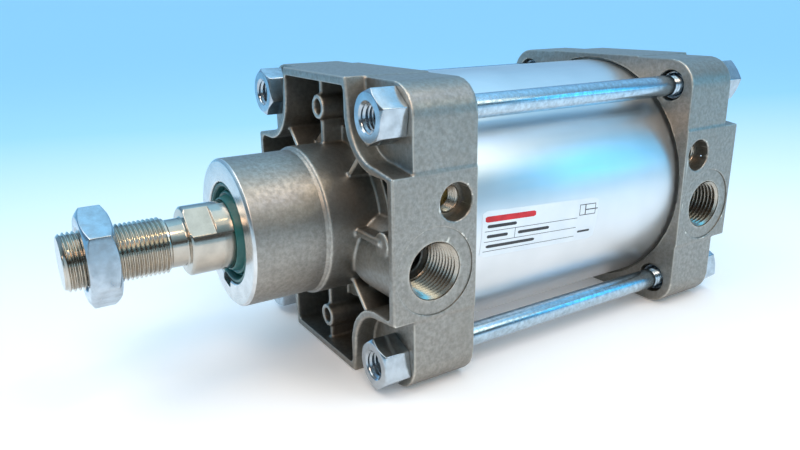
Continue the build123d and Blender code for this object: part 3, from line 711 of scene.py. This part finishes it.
def port_inserts(end, rear):
    """The tapped walls of a head's port and cushion-screw hole, coloured darker than machined aluminium as
    painted shade inside the holes.
    """
    mouth = port_seat_x
    back = mouth - port_depth
    major = port_radius + port_thread_depth
    outer = port_radius + 0.0016
    chamfer = port_radius + 0.00135
    thread = Thread(
        back + 0.0005, mouth - 0.0001, port_pitch, port_radius, major,
        low=[(mouth - 0.0011, port_radius), (mouth - 0.0001, chamfer)],
        high=[(back + 0.0005, port_radius), (back + 0.003, major)],
    )
    wall = [
        (chamfer, mouth - 0.0001), (outer, mouth - 0.0001), (outer, back), (port_radius, back),
        (port_radius, back + 0.0005),
    ]
    place = along_x((end_y(rear, port_y), port_z))
    piece = turned(f"{end}_port_thread", materials["machined_bore_painted_shade"], [thread, wall], place, edge=0.0)
    fit(piece, "cylinder_body", "cast_aluminium", f"{end}_head")

    start, stop = screw_low.x + 0.0042, counterbore_x
    core, root = screw_radius + 0.00005, screw_radius + 0.0006
    thread = Thread(
        start, stop, screw_pitch, core, root,
        low=[(stop - 0.0008, core), (stop, root + 0.0001)],
        high=[(start, core), (start + 0.001, root)],
    )
    outer = screw_radius + 0.00102
    wall = [(root + 0.0001, stop), (outer, stop), (outer, start), (core, start)]
    place = along_x((end_y(rear, screw_y), screw_z))
    piece = turned(f"{end}_cushion_thread", materials["machined_bore_painted_shade"], [thread, wall], place, edge=0.0)
    fit(piece, "cylinder_body", "cast_aluminium", f"{end}_head")


def front_head():
    tools = head_cutters(False)
    root = neck_root_y
    clear = neck_tip_y - 0.002
    tools.append(cutter(
        [[
            (0, clear), (hub_clear_radius, clear), (hub_clear_radius, root + 0.0002),
            (hub_radius + 0.0004, root + 0.0002), (hub_radius - 0.0006, root - 0.0005), (0, root - 0.0005),
        ]],
        along_y(),
    ))
    head = casting("front_head_casting", "front_head", tools)
    fit(head, "cylinder_body", "cast_aluminium", "front_head")
    port_inserts("front", False)

    # The machined neck: outside as cast and tumbled, front face and bore turned
    bore = rod_radius + 0.0005
    seat_end = wiper_end
    sections = [[
        (wiper_radius, neck_tip_y + 0.003), (wiper_radius, neck_tip_y + 0.0004),
        (wiper_radius + 0.0004, neck_tip_y), (pilot_radius - 0.0009, neck_tip_y),
        (pilot_radius, neck_tip_y + 0.0009), (pilot_radius, root - 0.0014),
        (hub_radius - 0.0006, root - 0.0005), (hub_radius - 0.0012, root + 0.002),
        (bore + 0.003, root + 0.002), (bore + 0.0032, seat_end + 0.0035), (bore, seat_end + 0.0034),
        (bore, seat_end), (wiper_radius, seat_end), (wiper_radius, neck_tip_y + 0.003),
    ]]
    neck = turned("front_neck", materials["cast_aluminium"], sections, along_y(), even_angles(160))
    neck.data.materials.append(materials["machined_aluminium"])
    for face in neck.data.polygons:
        on_front = face.normal.y < -0.35 and face.center.y < neck_tip_y + 0.001
        inside = hypot(face.center.x, face.center.z) < pilot_radius - 0.004
        face.material_index = 1 if on_front or inside else 0
    cut_notch(neck)
    fit(neck, "cylinder_body", "cast_aluminium", "front_head")


def cut_notch(neck):
    """Cuts the notch for prying the wiper out, low on the neck's face."""
    width, depth, height = 0.0044, 0.004, 0.007
    mesh = bmesh.new()
    bmesh.ops.create_cube(mesh, size=1.0)
    for vertex in mesh.verts:
        vertex.co = Vector((vertex.co.x * width, vertex.co.y * depth, vertex.co.z * height))
    bmesh.ops.bevel(mesh, geom=mesh.edges[:], offset=0.0003, segments=2, affect="EDGES")
    turn = Matrix.Rotation(radians(102), 4, "Y")
    spot = turn @ Matrix.Translation((wiper_radius + 0.0005, neck_tip_y + 0.001, 0))
    bmesh.ops.transform(mesh, matrix=spot, verts=mesh.verts)
    tool = finished(mesh, "notch", materials["machined_aluminium"])
    apply_modifier(neck, "BOOLEAN", operation="DIFFERENCE", object=tool, solver="EXACT")
    bpy.data.objects.remove(tool)
    neck.data.set_sharp_from_angle(angle=radians(38))


def rear_head():
    tools = head_cutters(True)
    end = pilot_end_y
    base = rear_face - 0.0018
    clear = end + 0.002
    tools.append(cutter(
        [[
            (0, base), (hub_radius - 0.0004, base), (hub_radius + 0.0006, base + 0.001),
            (hub_clear_radius, clear), (0, clear),
        ]],
        along_y(),
    ))
    head = casting("rear_head_casting", "rear_head", tools)
    fit(head, "cylinder_body", "cast_aluminium", "rear_head")
    port_inserts("rear", True)

    # The turned centring pilot, with its recess
    sections = [[
        (0, base - 0.002), (pilot_radius - 0.001, base - 0.002), (pilot_radius, base - 0.0005),
        (pilot_radius, end - 0.001), (pilot_radius - 0.001, end), (0.016, end), (0.014, base - 0.001),
        (0, base - 0.001),
    ]]
    pilot = turned("rear_pilot", materials["machined_aluminium"], sections, along_y(), even_angles(160))
    fit(pilot, "cylinder_body", "machined_aluminium", "rear_head")


# ---------------------------------------------------------------- tube, tie rods and nuts

def barrel():
    """The drawn tube, chamfered inside so that the seals slide in."""
    inner = 0.050
    chamfer = 0.0008
    edge = 0.0003
    middle = (barrel_start + barrel_end) / 2
    sections = [[
        (barrel_radius, middle), (barrel_radius, barrel_start + edge),
        (barrel_radius - edge, barrel_start), (inner + chamfer, barrel_start),
        (inner, barrel_start + chamfer), (inner, barrel_end - chamfer), (inner + chamfer, barrel_end),
        (barrel_radius - edge, barrel_end), (barrel_radius, barrel_end - edge), (barrel_radius, middle),
    ]]
    tube = turned("barrel_tube", materials["anodised_aluminium"], sections, along_y(), even_angles(256))
    fit(tube, "cylinder_body", "anodised_aluminium", "barrel")


def tie_rods():
    """Four rods with rolled threads inside the nuts at both ends."""
    core = nut_bore - 0.00005 - 0.0006
    crest = nut_bore - 0.00005
    for number, corner in enumerate(corners, 1):
        tip, tail = rod_start_y, rod_end_y
        first, last = nut_shank_end + 0.0035, rear_face - nut_shank_end - 0.0035
        front_thread = Thread(
            tip, first, nut_pitch, crest, core,
            high=[(tip, core - 0.0003), (tip + 0.001, crest), (first - 0.001, crest), (first, core)],
        )
        rear_thread = Thread(
            last, tail, nut_pitch, crest, core,
            high=[(last, core), (last + 0.001, crest), (tail - 0.001, crest), (tail, core - 0.0003)],
        )
        shank = [
            (core, first), (tie_rod_radius, first + 0.0006), (tie_rod_radius, last - 0.0006), (core, last),
        ]
        front_end = [(0, tip), (core - 0.0003, tip)]
        rear_end = [(core - 0.0003, tail), (0, tail)]
        sections = [front_end, front_thread, shank, rear_thread, rear_end]
        steel = materials["tie_rod_steel"]
        rod = turned(f"tie_rod_{number}", steel, sections, along_y(corner), even_angles(48), edge=0.0002)
        fit(rod, "cylinder_body", "tie_rod_steel", "tie_rods")


def sleeve_nut(name, node, corner, turn, rear):
    """A tie-rod nut: hexagon outside the head, shank inside it, an inner thread right through."""
    face, pad, shank_end = (end_y(rear, y) for y in (nut_face_y, pad_y, nut_shank_end))
    inward = -1 if rear else 1
    face_radius = nut_flats / 2 - 0.0002
    slope = 0.62
    major = nut_bore + nut_thread_depth
    mouth = nut_bore + 0.0014
    mouth_depth = inward * 0.0013
    shank_radius = 0.0064
    shank_edge = 0.0008

    def corner_edge(angle):
        radius = polygon_radius(angle, nut_flats, turn)
        return radius, face + inward * (radius - face_radius) * slope

    def pad_edge(angle):
        return polygon_radius(angle, nut_flats, turn), pad

    outside = [
        (mouth, face), (face_radius, face), corner_edge, pad_edge, (shank_radius, pad),
        (shank_radius, shank_end - inward * shank_edge), (shank_radius - shank_edge, shank_end),
        (mouth, shank_end),
    ]
    limits = sorted([
        (face, mouth), (face + mouth_depth, nut_bore), (shank_end - mouth_depth, nut_bore),
        (shank_end, mouth),
    ])
    thread = Thread(face, shank_end, nut_pitch, nut_bore, major, low=limits)
    angles = hexagon_angles(60, nut_flats, turn)
    zinc = materials["zinc_plated_steel"]
    nut = turned(name, zinc, [outside, thread], along_y(corner), angles, edge=0.00022)
    fit(nut, "cylinder_body", "zinc_plated_steel", node)


def tie_rod_nuts():
    for number, (corner, turn) in enumerate(zip(corners, nut_turns), 1):
        sleeve_nut(f"front_tie_rod_nut_{number}", "front_tie_rod_nuts", corner, turn, False)
    for number, (corner, turn) in enumerate(zip(corners, reversed(nut_turns)), 1):
        sleeve_nut(f"rear_tie_rod_nut_{number}", "rear_tie_rod_nuts", corner, turn, True)


# ---------------------------------------------------------------- rod end

def piston_rod():
    """The rod: threaded end, relief, wrench flats, ground shank and the piston's spigot."""
    crest = 0.010
    root = crest - rod_thread_depth
    relief = 0.0086
    relief_start = rod_shoulder_y - 0.0056
    spigot, tail = 0.009, 0.008
    sleeve_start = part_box("front_cushion_sleeve")[0].y
    nut_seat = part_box("piston_nut")[0].y
    tip_radius = crest - 0.0012
    half_flats = rod_flats / 2
    softness = 0.00003

    def flat_radius(radius, angle):
        across = abs(cos(angle - (pi / 2 - rod_flat_turn)))
        limit = half_flats / max(across, 1e-6)
        if limit > radius * 1.2:
            return radius
        return -softness * log(exp(-radius / softness) + exp(-limit / softness))

    def shoulder_face(angle):
        return flat_radius(rod_radius - 0.0008, angle), rod_shoulder_y

    def shoulder_edge(angle):
        return flat_radius(rod_radius, angle), rod_shoulder_y + 0.0008

    def flat_end(angle):
        return flat_radius(rod_radius, angle), rod_flat_end_y

    limits = [
        (rod_tip_y, tip_radius), (rod_tip_y + 0.0012, crest), (relief_start - 0.0014, crest),
        (relief_start, relief),
    ]
    thread = Thread(rod_tip_y, relief_start, rod_thread_pitch, crest, root, high=limits)
    sections = [
        [(0, rod_tip_y), (tip_radius, rod_tip_y)],
        thread,
        [
            (relief, relief_start), (relief, rod_shoulder_y - 0.0004), (relief + 0.0004, rod_shoulder_y),
            shoulder_face, shoulder_edge, flat_end, (rod_radius, rod_flat_end_y), (rod_radius, sleeve_start),
            (spigot, sleeve_start), (spigot, nut_seat), (tail, nut_seat), (tail, rod_tail_y - 0.001),
            (tail - 0.001, rod_tail_y), (0, rod_tail_y),
        ],
    ]
    boundary = acos(half_flats / rod_radius)
    steps = [radians(step) for step in (-2.4, -1.2, -0.4, 0.4, 1.2, 2.4)]
    extra = []
    for flat in (pi / 2 - rod_flat_turn, 3 * pi / 2 - rod_flat_turn):
        for side in (-1, 1):
            extra += [flat + side * (boundary + step) for step in steps]
    angles = even_angles(144, *extra)
    rod = turned("piston_rod_turned", materials["chromed_rod_steel"], sections, along_y(), angles)
    fit(rod, "rod_and_piston", "chromed_rod_steel", "piston_rod")


def rod_lock_nut():
    """A thin hexagon nut, chamfered on both sides."""
    start, end = lock_nut_start, lock_nut_end
    bore = 0.01005
    major = bore + 0.0007
    face_radius = lock_nut_flats / 2 - 0.0005
    mouth = major + 0.0003
    slope = 0.60

    def first_edge(angle):
        radius = polygon_radius(angle, lock_nut_flats, lock_nut_turn)
        return radius, start + (radius - face_radius) * slope

    def second_edge(angle):
        radius = polygon_radius(angle, lock_nut_flats, lock_nut_turn)
        return radius, end - (radius - face_radius) * slope

    outside = [
        (mouth, start), (face_radius, start), first_edge, second_edge, (face_radius, end), (mouth, end),
    ]
    limits = [(start, mouth), (start + 0.001, bore), (end - 0.001, bore), (end, mouth)]
    thread = Thread(start, end, rod_thread_pitch, bore, major, low=limits)
    angles = hexagon_angles(96, lock_nut_flats, lock_nut_turn)
    zinc = materials["zinc_plated_steel"]
    nut = turned("lock_nut_hexagon", zinc, [outside, thread], along_y(), angles, edge=0.0003)
    fit(nut, "lock_nut", "zinc_plated_steel", "rod_lock_nut")


def rod_wiper():
    """The teal wiper: a stepped ring with a thin lip that meets the rod."""
    lip = rod_radius + 0.00006
    tip, end = wiper_start, wiper_end
    face = neck_tip_y + 0.0006
    outer = wiper_radius - 0.0001
    neck = 0.0144  # inside radius between the two lips
    sections = [[
        (outer, face + 0.002), (outer, face + 0.0004), (wiper_radius - 0.0006, face), (0.0176, face),
        (0.0172, face + 0.0006), (0.0166, face + 0.0030), (0.0158, face + 0.0030), (0.0155, face + 0.0012),
        (0.0149, face + 0.0008), (0.0142, face + 0.0014), (0.0134, tip + 0.0003), (lip + 0.0004, tip),
        (lip, tip + 0.0005), (lip, tip + 0.0009), (neck, tip + 0.0044), (neck, end - 0.0026),
        (lip, end - 0.0016), (lip, end - 0.0006), (0.0142, end), (outer, end), (outer, face + 0.002),
    ]]
    teal = materials["wiper_polyurethane"]
    wiper = turned("wiper_ring", teal, sections, along_y(), even_angles(144), edge=0.0002)
    fit(wiper, "cylinder_body", "wiper_polyurethane", "rod_wiper_seal")


def cushion_screws():
    """The needle screws deep in the side holes, with a screwdriver slot."""
    for end, rear in (("front", False), ("rear", True)):
        low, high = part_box(f"{end}_cushion_screw")
        head = high.x
        neck_start, neck_end, collar = 0.0393, 0.0417, 0.0380
        neck_radius, needle_radius = 0.0026, 0.0017
        root = screw_radius - 0.0005
        start, stop = neck_end + 0.0002, head - 0.0003
        limits = [
            (start, root), (neck_end + 0.0008, screw_radius), (head - 0.0008, screw_radius), (stop, root),
        ]
        thread = Thread(start, stop, screw_pitch, screw_radius - 0.00003, root, high=limits)
        sections = [
            [
                (0, low.x), (0.0004, low.x), (needle_radius, low.x + 0.0025), (needle_radius, collar),
                (screw_radius, collar), (screw_radius, neck_start), (neck_radius, neck_start),
                (neck_radius, neck_end), (root, neck_end), (root, start),
            ],
            thread,
            [(root, stop), (root - 0.0003, head), (0, head)],
        ]
        brass = materials["screw_brass"]
        centre_y = end_y(rear, screw_y)
        place = along_x((centre_y, screw_z))
        screw = turned(f"{end}_needle_screw", brass, sections, place, even_angles(64), edge=0.0001)
        slot_depth, slot_width, slot_length = 0.003, 0.0012, 0.014
        mesh = bmesh.new()
        bmesh.ops.create_cube(mesh, size=1.0)
        for vertex in mesh.verts:
            x, y, z = vertex.co.x * slot_depth, vertex.co.y * slot_width, vertex.co.z * slot_length
            vertex.co = Vector((x + head, y + centre_y, z + screw_z))
        slot_tool = finished(mesh, "slot", materials["screw_brass"])
        apply_modifier(screw, "BOOLEAN", operation="DIFFERENCE", object=slot_tool, solver="EXACT")
        bpy.data.objects.remove(slot_tool)
        screw.data.set_sharp_from_angle(angle=radians(38))
        fit(screw, f"{end}_cushion_screw", "screw_brass", f"{end}_cushion_screw")


# ---------------------------------------------------------------- label

label_length, label_height = 0.060, 0.0175
label_middle = (0.0715, -0.0027)
label_tilt = radians(-3.4)


def on_barrel(along, across, radius):
    """A point of the label, from its middle, laid on a cylinder of that radius."""
    y = label_middle[0] + along * cos(label_tilt) - across * sin(label_tilt)
    z = label_middle[1] + along * sin(label_tilt) + across * cos(label_tilt)
    return Vector((sqrt(radius**2 - z**2), y, z))


def patch(mesh, low, high, radius, thickness, corner=0.0):
    """A thin curved patch between two corners of the label, with rounded corners."""
    columns, rows = 24, 12
    tops, bottoms = [], []
    for column in range(columns + 1):
        share = column / columns
        along = low[0] + (high[0] - low[0]) * share
        edge = min(along - low[0], high[0] - along)
        inset = corner - sqrt(max(corner**2 - (corner - edge) ** 2, 0)) if edge < corner else 0.0
        line_top, line_bottom = [], []
        for index in range(rows + 1):
            across = low[1] + inset + (high[1] - low[1] - 2 * inset) * index / rows
            line_top.append(mesh.verts.new(on_barrel(along, across, radius + thickness)))
            line_bottom.append(mesh.verts.new(on_barrel(along, across, radius)))
        tops.append(line_top)
        bottoms.append(line_bottom)
    for grid in (tops, bottoms):
        for first, second in zip(grid, grid[1:]):
            for index in range(rows):
                mesh.faces.new((first[index], second[index], second[index + 1], first[index + 1]))
    borders = []
    for grid in (tops, bottoms):
        near, far = [line[0] for line in grid], [line[-1] for line in reversed(grid[:-1])]
        borders.append(near + grid[-1][1:] + far + grid[0][-2:0:-1])
    border_top, border_bottom = borders
    for index in range(len(border_top)):
        following = (index + 1) % len(border_top)
        top = border_top[index], border_top[following]
        bottom = border_bottom[following], border_bottom[index]
        mesh.faces.new((*top, *bottom))


def rating_label():
    """A silver sticker with a plain colour bar, blank ruled fields and a little cylinder symbol."""
    film = 0.00012
    mesh = bmesh.new()
    half_length, half_height = label_length / 2, label_height / 2
    patch(mesh, (-half_length, -half_height), (half_length, half_height), barrel_radius, film, 0.001)
    sticker = finished(mesh, "label_sticker", materials["label_film"])
    fit(sticker, "cylinder_body", "label_film", "rating_label")

    surface, ink = barrel_radius + film, 0.00001
    line = 0.00022
    print_mesh = bmesh.new()
    left, right, upper, lower, lowest = -0.0285, 0.0185, 0.0012, -0.0028, -0.0066
    rules = [
        ((left, upper), (right, upper)), ((left, lower), (right, lower)),
        ((left, lowest), (right, lowest)), ((-0.0140, lower), (-0.0140, upper)),
    ]
    for (x0, y0), (x1, y1) in rules:
        patch(print_mesh, (x0 - line / 2, y0 - line / 2), (x1 + line / 2, y1 + line / 2), surface, ink)
    indent, bar = -0.0275, 0.0012  # where the blank bars start, and their height
    blanks = [
        (indent, 0.0024, 0.014, bar), (indent, -0.0014, 0.010, bar), (-0.0125, -0.0014, 0.016, bar),
        (indent, -0.0053, 0.024, bar), (0.0200, -0.0053, 0.0070, 0.0009),
    ]
    for x, y, width, height in blanks:
        patch(print_mesh, (x, y), (x + width, y + height), surface, ink, 0.0003)
    symbol = [
        (0.0195, 0.0020, 0.0285, 0.0023), (0.0195, 0.0062, 0.0285, 0.0065),
        (0.0195, 0.0020, 0.0198, 0.0065), (0.0282, 0.0020, 0.0285, 0.0065),
        (0.0225, 0.0020, 0.0230, 0.0065), (0.0230, 0.0040, 0.0297, 0.0044),
    ]
    for x0, y0, x1, y1 in symbol:
        patch(print_mesh, (x0, y0), (x1, y1), surface, ink)
    ink_print = finished(print_mesh, "label_print", materials["label_ink"])
    fit(ink_print, "cylinder_body", "label_film", "rating_label")

    bar_mesh = bmesh.new()
    patch(bar_mesh, (left, 0.0046), (-0.0040, 0.0068), surface, ink, 0.0004)
    colour_bar = finished(bar_mesh, "label_bar", materials["label_red"])
    fit(colour_bar, "cylinder_body", "label_film", "rating_label")


front_head()
rear_head()
barrel()
tie_rods()
tie_rod_nuts()
piston_rod()
rod_lock_nut()
rod_wiper()
cushion_screws()
rating_label()
